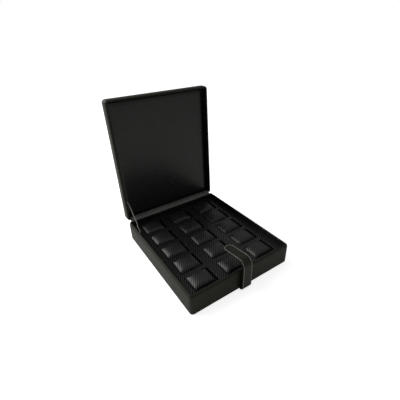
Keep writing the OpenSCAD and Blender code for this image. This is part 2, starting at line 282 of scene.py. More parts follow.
def leather(name, tone, olive=0.25, roughness=0.5, grain=1.1, depth=0.22, specular=0.16):
    """Pebbled leather: cells of about grain millimetres, broad waves, uneven tone and gloss."""
    s = Shader(name, Specular_IOR_Level=specular, Specular_Tint=grey(1.0, olive=olive))
    place = s.place()
    cells = s.add(
        "ShaderNodeTexVoronoi", settings={"feature": "SMOOTH_F1"}, Vector=place, Scale=1 / (grain * MM),
    )
    pores = s.noise(PORES, 2, vector=place)
    height = s.math("ADD", s.math("MULTIPLY", cells, 0.75), s.math("MULTIPLY", pores, 0.25))
    broad = s.bump(s.noise(WAVES, 2, vector=place), 1.0, 0.12)
    worn = s.ramp(s.noise(WEAR, 4, vector=place), 0.0, 1.0, start=0.35, end=0.7)
    tint = s.blend(worn, grey(tone * 0.85, olive=olive), grey(tone * 1.2, olive=olive))
    spots = s.ramp(s.noise(SPOTS, 3, vector=place), -0.06, 0.06)
    gloss = s.math("ADD", spots, s.ramp(worn, roughness + 0.04, roughness - 0.04))
    return s.finish(Base_Color=tint, Roughness=gloss, Normal=s.bump(height, depth, 0.5, broad))


CELL_U, CELL_V = 1.35, 2.0  # one thread of the twill, across and along, in millimetres
TWILL_REPEAT, TWILL_OVER = 4.0, 2.0  # in threads
FACES_AXIS = 0.6  # the least share of a wall's normal along the axis that it faces
# Painted shade: where the cloth rolls over a well's edge its gleam is dimmed to this share, for the shade
# inside the well.
ROLLED, ROLLED_SHADED_GLEAM = 0.3, 0.2  # cloth rolled this far over an edge, in millimetres, gleams this little


def weave_axes(s):
    """Across and along a flat wall: the two of x, y and z that it doesn't face."""
    x, y, z = s.split(s.place())
    facing = s.split(s.add("ShaderNodeNewGeometry", out="True Normal"))
    side, top = (s.math("GREATER_THAN", s.math("ABSOLUTE", facing[k]), FACES_AXIS) for k in (0, 2))
    return s.choose(side, y, x), s.choose(top, y, z)


def twill(name, tone, specular, plane=None, roughness=0.36, contrast=0.85):
    """A steep two-over-two twill. plane is the attribute that holds the flat cloth's two coordinates and
    how far the cloth has rolled over an edge, or None where it lies on flat walls."""
    s = Shader(name, Specular_Tint=(0.97, 1.0, 0.94, 1))
    if plane:
        u, v, rolled = s.split(s.add("ShaderNodeAttribute", out="Vector", settings={"attribute_name": plane}))
    else:
        u, v = weave_axes(s)
    column, row = s.math("DIVIDE", u, CELL_U * MM), s.math("DIVIDE", v, CELL_V * MM)
    step = s.math("SUBTRACT", s.math("FLOOR", column), s.math("FLOOR", row))
    over = s.math("LESS_THAN", s.math("FLOORED_MODULO", step, TWILL_REPEAT), TWILL_OVER)
    warp, weft = (s.math("SINE", s.math("MULTIPLY", s.math("FRACT", t), math.pi)) for t in (column, row))
    height = s.choose(over, warp, s.math("MULTIPLY", weft, 0.7))
    share = s.math("ADD", over, s.ramp(s.noise(LUMPS, 3), -0.15, 0.15))
    tint = s.blend(share, grey(tone * (1 - contrast)), grey(tone * (1 + contrast)))
    fuzz = s.ramp(s.noise(FUZZ, 2), -0.05, 0.05)
    gloss = s.math("ADD", s.ramp(over, roughness + 0.08, roughness - 0.08), fuzz)
    level = s.ramp(share, specular * (1 - contrast), specular * (1 + contrast))
    if plane:
        # painted shade: the gleam fades over the cloth that rolls into a well
        level = s.math("MULTIPLY", level, s.ramp(rolled, 1.0, ROLLED_SHADED_GLEAM, end=ROLLED * MM))
    folds = s.bump(s.noise(FOLDS, 2), 1.2, 0.12)
    return s.finish(
        Base_Color=tint, Specular_IOR_Level=level, Roughness=gloss, Normal=s.bump(height, 0.06, 0.3, folds),
    )


def plain(name, tone, scale, depth, roughness, variation=0.15, warmth=0.0, **inputs):
    """A fibrous or cast surface: one tone, speckled at the given scale."""
    s = Shader(name, **inputs)
    speck = s.noise(scale, 3, 0.6)
    share = s.ramp(speck, 0, 1, start=0.3, end=0.7)
    tint = s.blend(share, grey(tone * (1 - variation), warmth), grey(tone * (1 + variation), warmth))
    gloss = s.ramp(speck, roughness - 0.06, roughness + 0.06)
    return s.finish(Base_Color=tint, Roughness=gloss, Normal=s.bump(speck, depth, 0.5))


COVER = leather("cover_leather", tone=0.0135)
STRAP_SKIN = leather("strap_leather", tone=0.012, grain=0.9, specular=0.2)
HINGE_SKIN = leather(
    "hinge_leather", tone=0.13, olive=0.05, roughness=0.45, grain=0.8, depth=0.15, specular=0.3,
)
DECK_CLOTH = twill("woven_lining", tone=0.011, specular=0.32, plane="cloth")
# The pad is the deck's twill. Its tone is darkened as painted shade. Its gleam is raised and its weave made
# fainter to match the lid's lighting.
PAD_CLOTH_PAINTED_SHADE = twill("woven_pad_lining_painted_shade", tone=0.007, specular=0.39, plane="cloth", contrast=0.38)
WALL_CLOTH = twill("woven_wall_lining", tone=0.006, specular=0.25)
PILLOW_CLOTH = twill("pillow_fabric", tone=0.011, specular=0.41, plane="cloth", roughness=0.44, contrast=0.58)
CARD = plain("underside_card", 0.02, scale=1800, depth=0.15, roughness=0.9, variation=0.3, Sheen_Weight=0.3)
BOARD = plain("board", 0.30, scale=700, depth=0.2, roughness=0.75, variation=0.25, warmth=0.22)
FOAM = plain("foam", 0.045, scale=1500, depth=0.4, roughness=0.9, variation=0.3)
STEEL = plain("steel", 0.55, scale=900, depth=0.03, roughness=0.28, variation=0.06, Metallic=1.0)
YARN = {"depth": 0.05, "roughness": 0.6, "variation": 0.12, "warmth": 0.03, "Sheen_Weight": 0.3}
THREAD = plain("stitch_thread", 0.42, scale=4000, **YARN)
CORD = plain("cord", 0.30, scale=5000, **YARN)


def paint(obj, material):
    obj.data.materials.clear()
    obj.data.materials.append(material)
    return obj


# ---- camera ----

FOCAL_PX, IMAGE_PX, SENSOR = 285.05, 400, 36.0  # the sensor is in millimetres
CAMERA_AT = Vector((-324.1, -491.4, 500.9)) * MM
YAW, PITCH, ROLL = (math.radians(a) for a in (32.858, 30.731, -1.913))


def add_camera():
    """The photograph's camera, fitted to the case's straight edges."""
    data = bpy.data.cameras.new("camera")
    data.sensor_width = SENSOR
    data.lens = FOCAL_PX / IMAGE_PX * SENSOR
    data.clip_start, data.clip_end = 0.01, 60
    turns = ((-YAW, "Z"), (math.pi / 2 - PITCH, "X"), (ROLL, "Z"))
    yaw, pitch, roll = (Matrix.Rotation(angle, 4, axis) for angle, axis in turns)
    camera = add_object("camera", data)
    camera.matrix_world = Matrix.Translation(CAMERA_AT) @ yaw @ pitch @ roll
    bpy.context.scene.camera = camera


add_camera()

# ---- stay cord ----

STAY_D, EYELET_T = 1.8, 1.2
STAY_REACH, STAY_DEPTH = 56.0, 6.0  # from the fold, and in from each rim
STAY_TURN = 2.05 * STAY_D  # radius of the cord's turn at each eyelet
# (share of the way between the eyelets, sag, distance from the wall)
STAY_COURSE = (
    (0.09, 0.8, 5.0), (0.15, 1.4, 4.2), (0.21, 2.1, 4.4), (0.27, 2.3, 6.3), (0.33, 2.6, 6.3),
    (0.39, 2.7, 6.4), (0.45, 2.6, 6.6), (0.51, 2.5, 6.3), (0.57, 2.6, 6.0), (0.63, 2.5, 6.2),
    (0.69, 2.2, 6.4), (0.75, 1.8, 6.2), (0.81, 1.4, 5.7), (0.87, 1.0, 5.3), (0.92, 0.6, 5.0),
)
STAY_START = Vector((-INNER_W / 2, CASE_D / 2 - STAY_REACH, BASE_H - STAY_DEPTH))
STAY_END = LID @ Vector((-INNER_W / 2, CASE_D / 2 - STAY_REACH, STAY_DEPTH))


def stay_route():
    """The cord's centreline: square out of one eyelet, along a sagging line, square into the other."""
    line = STAY_END - STAY_START
    ahead = line.normalized()
    down = Vector((0, ahead.z, -ahead.y))
    turn = quarter_turn(4, first=0)
    bend = [(STAY_TURN * (1 - math.cos(a)), EYELET_T + STAY_TURN * math.sin(a)) for a in turn]
    rows = [(along, 0, inward) for along, inward in bend]
    rows += [(share * line.length, sag, inward) for share, sag, inward in STAY_COURSE]
    rows += [(line.length - along, 0, inward) for along, inward in reversed(bend)]
    return [STAY_START + ahead * along + down * sag + Vector((inward, 0, 0)) for along, sag, inward in rows]


def smooth_line(points, step):
    """A Catmull-Rom curve through the points, as points about step apart."""
    p = [2 * points[0] - points[1], *points, 2 * points[-1] - points[-2]]
    line = []
    for a, b, c, d in zip(p, p[1:], p[2:], p[3:]):
        n = max(1, round((c - b).length / step))
        for k in range(n):
            t = k / n
            square, cube = (2 * a - 5 * b + 4 * c - d) * t**2, (3 * b - a - 3 * c + d) * t**3
            line.append(0.5 * (2 * b + (c - a) * t + square + cube))
    return line + [points[-1]]


def twisted_tube(name, line, diameter, strands=3, pitch=5.0, sides=18, groove=0.22):
    """A laid cord: its section has a lobe for each strand, and turns once in each pitch."""
    rings, along, normal = [], 0.0, Vector((0, -0.7, 0.7))
    for i, point in enumerate(line):
        ahead = direction(line, i)
        normal = (normal - ahead * normal.dot(ahead)).normalized()
        side = ahead.cross(normal)
        if i:
            along += (point - line[i - 1]).length
        ring = []
        for k in range(sides):
            a = 2 * math.pi * k / sides
            lobe = abs(math.cos(strands / 2 * (a - 2 * math.pi * along / pitch)))
            r = diameter / 2 * (1 - groove * (1 - lobe))
            ring.append(point + r * (math.cos(a) * normal + math.sin(a) * side))
        rings.append(ring)
    return make(name, *loft(rings, caps=True))


def add_stay_cord():
    """The cord between base and lid, built along one route."""
    route = smooth_line(stay_route(), 0.4)
    cord = paint(twisted_tube("stay_cord_laid", route, STAY_D), CORD)
    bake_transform(cord)
    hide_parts("stay_cord")


add_stay_cord()


# (radius, height) round an eyelet's rolled section
EYELET_PROFILE = (
    (1.0, 0.1), (1.0, 0.7), (1.15, 1.0), (1.6, 1.18), (2.2, 1.12), (2.7, 0.8), (2.95, 0.4), (3.0, 0.02),
    (2.0, 0.02),
)
EYELET_STEPS = 32


def add_eyelets():
    """One steel eyelet at each end of the cord, flat against the left walls."""
    turn = [2 * math.pi * k / EYELET_STEPS for k in range(EYELET_STEPS)]
    rings = [[(r * math.cos(a), r * math.sin(a), h) for r, h in EYELET_PROFILE] for a in turn]
    for body, place in (("base", STAY_START), ("lid", STAY_END)):
        matrix = Matrix.Translation(place) @ Matrix.Rotation(math.pi / 2, 4, "Y")
        eyelet = make(f"eyelet_{body}", *loft(rings, loop=True), matrix=matrix, sharp=50)
        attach(paint(eyelet, STEEL), body)
        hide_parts(f"stay_eyelet_{body}")


add_eyelets()

# ---- leather shells ----

SIDE_STEPS, CORNER_STEPS = 22, 6  # parts of a straight side and of a corner
RIM_W, RIM_SOFT, RIM_STEPS = 3.4, 9.0, 8  # the padded rim's round, across and down, and its parts
RIM_FOLD = 0.35  # chamfer of the rim's inner edge
NEAR_CORNER = 2.5  # the short parts at a straight side's ends, where the rear rim steps down
STEP_FADE = 1.6  # how fast the rear rim's step fades down the wall
TURN_UNDER = 16.0  # how far the covering turns in under the base
LID_TOP_R = 3.0
BASE_ROWS, LID_ROWS = (42.0, 30.0, 18.0, 8.0), (12.0, 16.0, 20.0)  # heights of mesh rows in the walls
LID_FLAT = (30.0, 100.0)  # insets of the mesh rings on the lid's flat top
LINING_TOP, LINING_EDGE = 0.9, 0.3  # how far the lining's top lies under the rim, and its chamfer
WALL_FREE, LINING_FREE, SEAT_FREE = 0.08, 0.06, 0.02  # what keeps pieces that lie together apart


def plan_ring(inset, z):
    """Points round the case's plan at one level, from the front right corner."""
    r = max(1.0, CORNER_R - inset)
    w, d = CASE_W / 2 - inset - r, CASE_D / 2 - inset - r
    loop = rounded_loop(0, 0, w, d, r, CORNER_STEPS, SIDE_STEPS, near=NEAR_CORNER)
    return [Vector((*p, z)) for p in loop]


def rim_round(depth):
    """(inset, distance below the rim) round the soft rim at one depth in, from its top to the wall."""
    turn = quarter_turn(RIM_STEPS, first=0)
    return [(RIM_W * (1 - math.sin(a)) + depth, RIM_SOFT * (1 - math.cos(a)) + depth) for a in turn]


def rim_skin():
    """The leather's face over the rim, from its inner edge down to the wall."""
    edge = COVER_T + BOARD_T
    return [(edge, COVER_T), (edge, RIM_FOLD), (edge - RIM_FOLD, 0.0), *rim_round(0)]


def hinge_share(p):
    """1 along the hinge, falling to 0 at the corners."""
    return smoothstep((HINGE_HALF_W - abs(p.x)) / NEAR_CORNER)


def stepped_rings(section, rim_z, down):
    """Rings of a section's (inset, z), with the rear rim stepped back along the hinge. down, -1 or 1, is
    the way into the piece."""
    rings = [plan_ring(*level) for level in section]
    for p in (p for ring in rings for p in ring):
        near = 1 - abs(p.z - rim_z) / RIM_SOFT
        if p.y > CASE_D / 2 - WALL_T and near > 0:
            p.z += down * HINGE_RECESS * hinge_share(p) * smoothstep(near * STEP_FADE)
    return rings


# (inset, height) of the covering's outside, from its edge under the base round to the wall
BOTTOM_EDGE = (
    (TURN_UNDER, UNDERSIDE_Z), (2.0, UNDERSIDE_Z), (1.1, 1.15), (0.45, 1.6), (0.1, 2.4), (0.0, 3.4),
)


def cut_root_pocket(shell):
    """Opens the covering under the front edge, where the strap's root goes in."""
    fit = 0.3
    half_w, front, back = STRAP_W / 2 + fit, -CASE_D / 2 - 3, ROOT_INNER_Y + 1
    corners = ((-half_w, front), (half_w, front), (half_w, back), (-half_w, back))
    rings = [[(x, y, z) for x, y in corners] for z in (-1.0, ROOT_Z + ROOT_T + fit)]
    cutter = make("cutter", *loft(rings, caps=True))
    apply_modifier(shell, "BOOLEAN", object=cutter, operation="DIFFERENCE", solver="EXACT")
    bpy.data.objects.remove(cutter)
    shell.data.set_sharp_from_angle(angle=math.radians(40))


def add_base_shell():
    """The base's covering: out over the rim, down the walls, and in under the base."""
    inside_z = UNDERSIDE_Z + COVER_T
    outside = [(inset, BASE_H - down) for inset, down in rim_skin()]
    outside += [(0.0, z) for z in BASE_ROWS] + list(reversed(BOTTOM_EDGE))
    back = [(TURN_UNDER, inside_z), (3.0, inside_z), (COVER_T, 4.0), (COVER_T, 24.0)]
    back += [(inset, BASE_H - down) for inset, down in reversed(rim_round(COVER_T))]
    shell = make("base_shell", *loft(stepped_rings(outside + back, BASE_H, -1), loop=True))
    cut_root_pocket(shell)
    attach(paint(shell, COVER), "base")
    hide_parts("base_cover")


def add_lid_shell():
    """The lid's covering: out over the rim, up the walls and across the top."""
    r = LID_TOP_R
    outside = rim_skin() + [(0.0, z) for z in LID_ROWS]
    outside += [(r * (1 - math.cos(a)), LID_H - r * (1 - math.sin(a))) for a in quarter_turn(6)]
    outside += [(inset, LID_H) for inset in LID_FLAT]
    back = [(inset, LID_H - COVER_T) for inset in (*reversed(LID_FLAT), r)]
    back += [(COVER_T, LID_H - r - 0.4), (COVER_T, LID_ROWS[0]), *reversed(rim_round(COVER_T))]
    shell = make("lid_shell", *loft(stepped_rings(back + outside, 0, 1), caps=True), matrix=LID)
    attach(paint(shell, COVER), "lid")
    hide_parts("lid_cover")


def add_wall_boards(body, rim_z, down, matrix=None):
    """The four boards under the leather, mitred at the corners and rounded along the rim."""
    depth = BASE_H - TRAY_Z if body == "base" else LID_BOARD_Z
    outer, inner = COVER_T + WALL_FREE, COVER_T + BOARD_T - WALL_FREE
    section = [(inner, depth), (inner, outer), *rim_round(outer), (outer, depth)]
    rings = stepped_rings([(inset, rim_z + down * z) for inset, z in section], rim_z, down)
    n = len(rings[0])
    for side, name in enumerate(("right", "rear", "left", "front")):
        first = side * n // 4 + CORNER_STEPS // 2
        columns = [[ring[(first + k) % n] for ring in rings] for k in range(n // 4 + 1)]
        board = make(f"{body}_{name}_wall_board", *loft(columns, caps=True), matrix=matrix, sharp=40)
        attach(paint(board, BOARD), body)
        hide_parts(f"{body}_{name}_wall")


def add_lid_board():
    """The board under the lid's top, its edge bevelled under the rounded leather."""
    free = 0.1
    low, high, edge, middle = LID_BOARD_Z, LID_H - COVER_T - free, COVER_T + free, LID_FLAT[-1]
    section = ((middle, low), (edge, low), (edge, LID_H - 3.5), (edge + 2.2, high), (middle, high))
    rings = [plan_ring(*level) for level in section]
    board = make("lid_top_board", *loft(rings, caps=True), matrix=LID, sharp=30)
    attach(paint(board, BOARD), "lid")
    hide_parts("lid_board")


def add_wall_lining(body, rim_z, down, depth, rear_drop, matrix=None):
    """The woven lining round the walls, lower at the rear where the hinge leather turns in."""
    outer, inner = COVER_T + BOARD_T + LINING_FREE, WALL_T
    section = (
        (outer, depth), (outer, LINING_TOP), (inner - LINING_EDGE, LINING_TOP),
        (inner, LINING_TOP + LINING_EDGE), (inner, depth),
    )
    rings = [plan_ring(inset, rim_z + down * z) for inset, z in section]
    for p in (p for ring in rings[1:-1] for p in ring if p.y > INNER_D / 2 - 1):
        p.z += down * rear_drop * hinge_share(p)
    lining = make(f"{body}_wall_cloth", *loft(rings, loop=True), matrix=matrix, sharp=40)
    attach(paint(lining, WALL_CLOTH), body)
    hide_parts(f"{body}_wall_lining")


add_base_shell()
add_lid_shell()
add_lid_board()
add_wall_lining("base", BASE_H, -1, depth=BASE_H - DECK_Z - SEAT_FREE, rear_drop=HINGE_RECESS)
add_wall_lining("lid", 0, 1, depth=LID_BOARD_Z - SEAT_FREE, rear_drop=HINGE_TURN_IN - HINGE_T, matrix=LID)
add_wall_boards("base", BASE_H, -1)
add_wall_boards("lid", 0, 1, matrix=LID)

# ---- deck ----

WELL_CORNER, WELL_ROLL, WELL_LINING = 2.0, 0.4, 14.0  # corner's and edge's radius, and the lining's depth
WELL_STEPS, WELL_ARC = 6, 4  # parts of a well's side and of its corner
WELLS = [(column, row) for column in range(COLUMNS) for row in range(ROWS)]
DECK_CLOTH_T = 0.4
ARC_EXTRA = 0.57  # a quarter turn's length less its radius, in radii


def well_corner(column, row):
    return (
        -INNER_W / 2 + DECK_EDGE_X + column * (WELL_W + DECK_STRIP_X),
        -INNER_D / 2 + DECK_EDGE_Y + row * (WELL_L + DECK_STRIP_Y),
    )


def well_loop(column, row, grow):
    """Points round one well, its edge moved outward by grow."""
    x0, y0 = well_corner(column, row)
    r, x, y = WELL_CORNER + grow, x0 + WELL_W / 2, y0 + WELL_L / 2
    w, d = WELL_W / 2 + grow - r, WELL_L / 2 + grow - r
    return rounded_loop(x, y, w, d, r, WELL_ARC, WELL_STEPS)


def cell_edge(column, row, loop):
    """The edge of a well's part of the deck, with a point for each of the loop's."""
    x0, y0 = well_corner(column, row)
    edge_x, edge_y = INNER_W / 2 + LINING_T, INNER_D / 2 + LINING_T
    left = -edge_x if column == 0 else x0 - DECK_STRIP_X / 2
    right = edge_x if column == COLUMNS - 1 else x0 + WELL_W + DECK_STRIP_X / 2
    front = -edge_y if row == 0 else y0 - DECK_STRIP_Y / 2
    back = edge_y if row == ROWS - 1 else y0 + WELL_L + DECK_STRIP_Y / 2
    corners = ((right, front), (right, back), (left, back), (left, front))
    points = []
    for i, (x, y) in enumerate(loop):
        side, k = divmod(i, len(loop) // 4)
        across = ((right, y), (x, back), (left, y), (x, front))
        points.append(corners[side] if k <= WELL_ARC else across[side])
    return points


def well_levels(column, row):
    """Loops from the deck's flat part down into one well, as (loop, height, rolled). rolled is how far the
    cloth has gone over the well's edge, or None on the flat part."""
    rim = well_loop(column, row, WELL_ROLL)
    levels = [(cell_edge(column, row, rim), DECK_Z, None)]
    levels += [(well_loop(column, row, WELL_ROLL + 0.5), DECK_Z, None), (rim, DECK_Z, None)]
    for angle in (22.5, 45, 67.5, 90):
        a = math.radians(angle)
        grow = WELL_ROLL * (1 - math.sin(a)) - DECK_CLOTH_T * (angle == 90)
        levels.append((well_loop(column, row, grow), DECK_Z - WELL_ROLL * (1 - math.cos(a)), WELL_ROLL * a))
    for down in (5.0, 9.5, WELL_LINING):
        levels.append((well_loop(column, row, -DECK_CLOTH_T), DECK_Z - down, WELL_ROLL * ARC_EXTRA + down))
    return levels


def add_deck():
    """The woven deck: its edges roll into each well and line the well's sides."""
    points, faces, cloth = [], [], []
    for column, row in WELLS:
        rim, inner = well_loop(column, row, WELL_ROLL), well_loop(column, row, -1.0)
        levels = well_levels(column, row)
        start, n = len(points), len(rim)
        for loop, z, rolled in levels:
            for k, (x, y) in enumerate(loop):
                points.append((x, y, z))
                if rolled is not None:
                    inward = Vector(inner[k]) - Vector(rim[k])
                    x, y = Vector(rim[k]) + inward / inward.length * rolled
                cloth.append((x, y, rolled or 0.0))
        for level in range(len(levels) - 1):
            faces += band_faces(start + level * n, start + (level + 1) * n, n)
    deck = make("deck", points, faces, merge=0.02, cloth=cloth)
    apply_modifier(deck, "SOLIDIFY", thickness=DECK_CLOTH_T * MM, offset=-1)
    deck.data.set_sharp_from_angle(angle=math.radians(50))
    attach(paint(deck, DECK_CLOTH), "base")
    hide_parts("deck_lining")


add_deck()

# ---- lid pad ----

PAD_T, PAD_EDGE, PAD_FREE = 5.0, 16.0, 0.05  # its edge is the width that rolls back
PAD_STEPS = 9
PAD_FLAT = (18, 50, 85)  # insets of the mesh rings on the flat middle, from the rolled edge


def add_lid_pad():
    """The padded panel in the lid: flat in the middle, rolling back along its edges."""
    levels = [(PAD_FREE, LID_BOARD_Z - PAD_FREE)]
    for a in quarter_turn(PAD_STEPS):
        levels.append((PAD_FREE + PAD_EDGE * (1 - math.cos(a)), LID_BOARD_Z - PAD_T * math.sin(a) ** 0.9))
    levels += [(PAD_EDGE + inset, LID_BOARD_Z - PAD_T) for inset in PAD_FLAT]
    points, faces = loft([plan_ring(WALL_T + inset, z) for inset, z in levels], caps=True)
    pad = make("lid_pad_soft", points, faces, matrix=LID, cloth=[(p.x, p.y, 0) for p in points])
    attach(paint(pad, PAD_CLOTH_PAINTED_SHADE), "lid")
    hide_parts("lid_pad")


add_lid_pad()

# ---- pillows ----

GAP_LEFT, GAP_RIGHT, GAP_END = 2.25, 7.25, 1.5  # between a pillow and its well
PILLOW_W, PILLOW_L = WELL_W - GAP_LEFT - GAP_RIGHT, WELL_L - 2 * GAP_END
PILLOW_Z0, PILLOW_Z1, PILLOW_WAIST = 6.8, DECK_Z + 8.0, 36.0  # bottom, top and widest level
CROWN_POWER, LOW_POWER = 2.6, 6.0  # how square the section is above and below the waist
PILLOW_GIRTH, GRID = 164.0, 2.6  # about the length round a pillow, and of its mesh's edges
SLACK, SEAM_PULL, SEAM_DIP = 0.3, 0.4, 0.6  # inset all over, more at the end seams, and their groove's depth
CROWN_DROP = 0.3  # how much of its height the crown loses at the ends
LEFT_BULGE, END_BULGE = 1.7, 0.8  # how far the left side and the ends stand out over the deck
CAP_SHARES = (0.965, 0.9, 0.78, 0.62, 0.44, 0.26, 0.1)  # rings of an end panel, as shares of its outline
CAP_ROUND = 0.38  # the outer share of an end panel that curves
PILLOW_VARIANTS = 3


def pillow_profile(inset):
    """Points all round a pillow's (x, z) section, from the middle of its crowned top."""
    w = PILLOW_W / 2 - inset
    line = []
    for k in range(73):
        a = math.radians(90 - 5 * k)
        turn = (math.cos(a), math.sin(a))
        power = CROWN_POWER if turn[1] >= 0 else LOW_POWER
        tall = (PILLOW_Z1 - PILLOW_WAIST if turn[1] >= 0 else PILLOW_WAIST - PILLOW_Z0) - inset
        across, upward = (math.copysign(abs(v) ** (2 / power), v) for v in turn)
        line.append((w * across, PILLOW_WAIST + tall * upward))
    return line


def even_loop(line, count):
    """count points evenly round a closed line, the length to each, and the line's own."""
    sizes = np.array(line)
    along = np.concatenate([[0], np.cumsum(np.linalg.norm(np.diff(sizes, axis=0), axis=1))])
    at = np.linspace(0, along[-1], count, endpoint=False)
    return np.stack([np.interp(at, along, sizes[:, k]) for k in (0, 1)], axis=1), at, along[-1]


def end_slope(z):
    """How far a pillow's end seam lies back from its full length: more where the cloth is higher."""
    return 0.6 + 2.2 * smoothstep((z - 37) / 9)


def pucker(at, t, phases):
    """How far the cloth stands out: broad waves, and small ones near the seams."""
    small = math.sin(at / 4.2 + phases[0] + 2.0 * t) + 0.6 * math.sin(at / 2.3 + phases[1])
    return 0.16 * abs(t) ** 3 * small + 0.22 * math.sin(at / 15 + phases[2] + t * 1.6)


def settle(x, z, t):
    """Where a point of the section goes, t of the way from the middle to the ends, -1 and 1."""
    over_deck = smoothstep((z - 35) / 4)
    y = t * (PILLOW_L / 2 - end_slope(z) + END_BULGE * over_deck)
    if z > PILLOW_WAIST:
        z -= (z - PILLOW_WAIST) * CROWN_DROP * abs(t) ** 7
    return Vector((x + LEFT_BULGE * over_deck * min(0.0, x) / (PILLOW_W / 2), y, z))


def add_end_panel(points, faces, cloth, first, count, end):
    """Closes one end of a pillow, whose seam is count points from first, with rings towards its middle."""
    middle = Vector((0, 0, (PILLOW_Z0 + PILLOW_Z1) / 2))
    seam, outer = points[first:first + count], first
    for share in CAP_SHARES:
        fullness = math.sin(min(1, (1 - share) / CAP_ROUND) * math.pi / 2)
        inner = len(points)
        for p in seam:
            bulge = end * (end_slope(p.z) * fullness - SEAM_DIP * (share == CAP_SHARES[0]))
            points.append(Vector((p.x * share, p.y + bulge, middle.z + (p.z - middle.z) * share)))
            cloth.append((points[-1].x, points[-1].z, 0))
        faces += [face if end < 0 else face[::-1] for face in band_faces(outer, inner, count)]
        outer = inner
    last = tuple(range(outer, outer + count))
    faces.append(last if end < 0 else last[::-1])


def build_pillow(name, seed):
    """A loaf: a strip of cloth round the filling and two end panels, puckered a little at the seams."""
    phases = np.random.default_rng(seed).uniform(0, 2 * math.pi, 3)
    count, rows = round(PILLOW_GIRTH / GRID), round(PILLOW_L / GRID)
    rings, cloth = [], []
    for j in range(rows + 1):
        t = 2 * j / rows - 1
        loop, at, long = even_loop(pillow_profile(SLACK + SEAM_PULL * abs(t) ** 12), count)
        ring = []
        for length, (x, z) in zip(at, loop):
            outward = Vector((x, 0, z - (PILLOW_Z0 + PILLOW_Z1) / 2)).normalized()
            point = settle(x, z, t)
            cloth.append((length if length < long / 2 else length - long, point.y, 0))
            ring.append(point + outward * pucker(length, t, phases))
        rings.append(ring)
    points, faces = loft(rings)
    add_end_panel(points, faces, cloth, 0, count, -1)
    add_end_panel(points, faces, cloth, count * rows, count, 1)
    return make(name, points, faces, cloth=cloth)


def inflate(obj, cap, pressure=4.0, frames=20):
    """Swells the piece by a short cloth simulation that moves no point further than cap millimetres."""
    rest = np.array([v.co for v in obj.data.vertices])
    modifier = set_modifier(obj, "CLOTH")
    assign(
        modifier.settings, quality=6, mass=0.15, tension_stiffness=8, compression_stiffness=8,
        bending_stiffness=0.4, use_pressure=True, uniform_pressure_force=pressure,
    )
    modifier.settings.effector_weights.gravity = 0
    modifier.collision_settings.use_collision = False
    scene = bpy.context.scene
    for number in range(1, frames + 1):
        scene.frame_set(number)
    result = obj.evaluated_get(bpy.context.evaluated_depsgraph_get()).to_mesh()
    moved = np.array([v.co for v in result.vertices]) - rest
    obj.modifiers.clear()
    scene.frame_set(1)
    length = np.linalg.norm(moved, axis=1, keepdims=True)
    moved *= np.minimum(1, cap * MM / np.maximum(length, 1e-12))
    obj.data.vertices.foreach_set("co", (rest + moved).astype(np.float32).ravel())
    obj.data.update()


def add_pillows():
    """Fifteen pillows, one in each well, in a few shapes that take turns."""
    made = []
    for variant in range(PILLOW_VARIANTS):
        pillow = build_pillow(f"pillow_variant_{variant}", 11 + variant)
        inflate(pillow, cap=1.2)
        apply_modifier(pillow, "SUBSURF", levels=1, render_levels=1)
        made.append(pillow)
    for column, row in WELLS:
        x0, y0 = well_corner(column, row)
        number = f"{column + 1}_{row + 1}"
        mesh = made[(2 * column + row) % PILLOW_VARIANTS].data.copy()
        pillow = add_object(f"padded_pillow_{number}", mesh)
        pillow.location = Vector((x0 + GAP_LEFT + PILLOW_W / 2, y0 + GAP_END + PILLOW_L / 2, 0)) * MM
        mesh.shade_smooth()
        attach(paint(pillow, PILLOW_CLOTH), f"pillow_{number}")
        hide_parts(f"pillow_{number}")
    for pillow in made:
        bpy.data.objects.remove(pillow)


add_pillows()

# ---- hinge leather ----

HINGE_FLAP = 20.6  # how far the outer hinge leather goes down the base and up the lid
INNER_LEATHER_T, OUTER_LEATHER_T = 0.6, 0.7


def band(name, line, half_w, thickness, steps_x=40):
    """A strip of leather with one (y, z) section. line is its face, and thickness goes to its left."""
    line = [Vector(p) for p in line]
    back = []
    for i, point in enumerate(line):
        ahead = direction(line, i)
        back.append(point + thickness * Vector((-ahead.y, ahead.x)))
    section = line + back[::-1]
    places = [-half_w + 2 * half_w * k / steps_x for k in range(steps_x + 1)]
    return make(name, *loft([[(x, *p) for p in section] for x in places], caps=True), sharp=50)


def fold_line(base, lid, bend, steps=7):
    """A section line along the base and on along the lid, which is given closed, with its z from its rim.
    A smooth fold round bend joins them."""
    lid = [(LID @ Vector((0, *p))).yz for p in lid]
    a, b = Vector(base[-1]), lid[0]
    shares = [k / steps for k in range(1, steps)]
    curve = [(1 - t) ** 2 * a + 2 * t * (1 - t) * Vector(bend) + t * t * b for t in shares]
    return [*base, *curve, *lid]


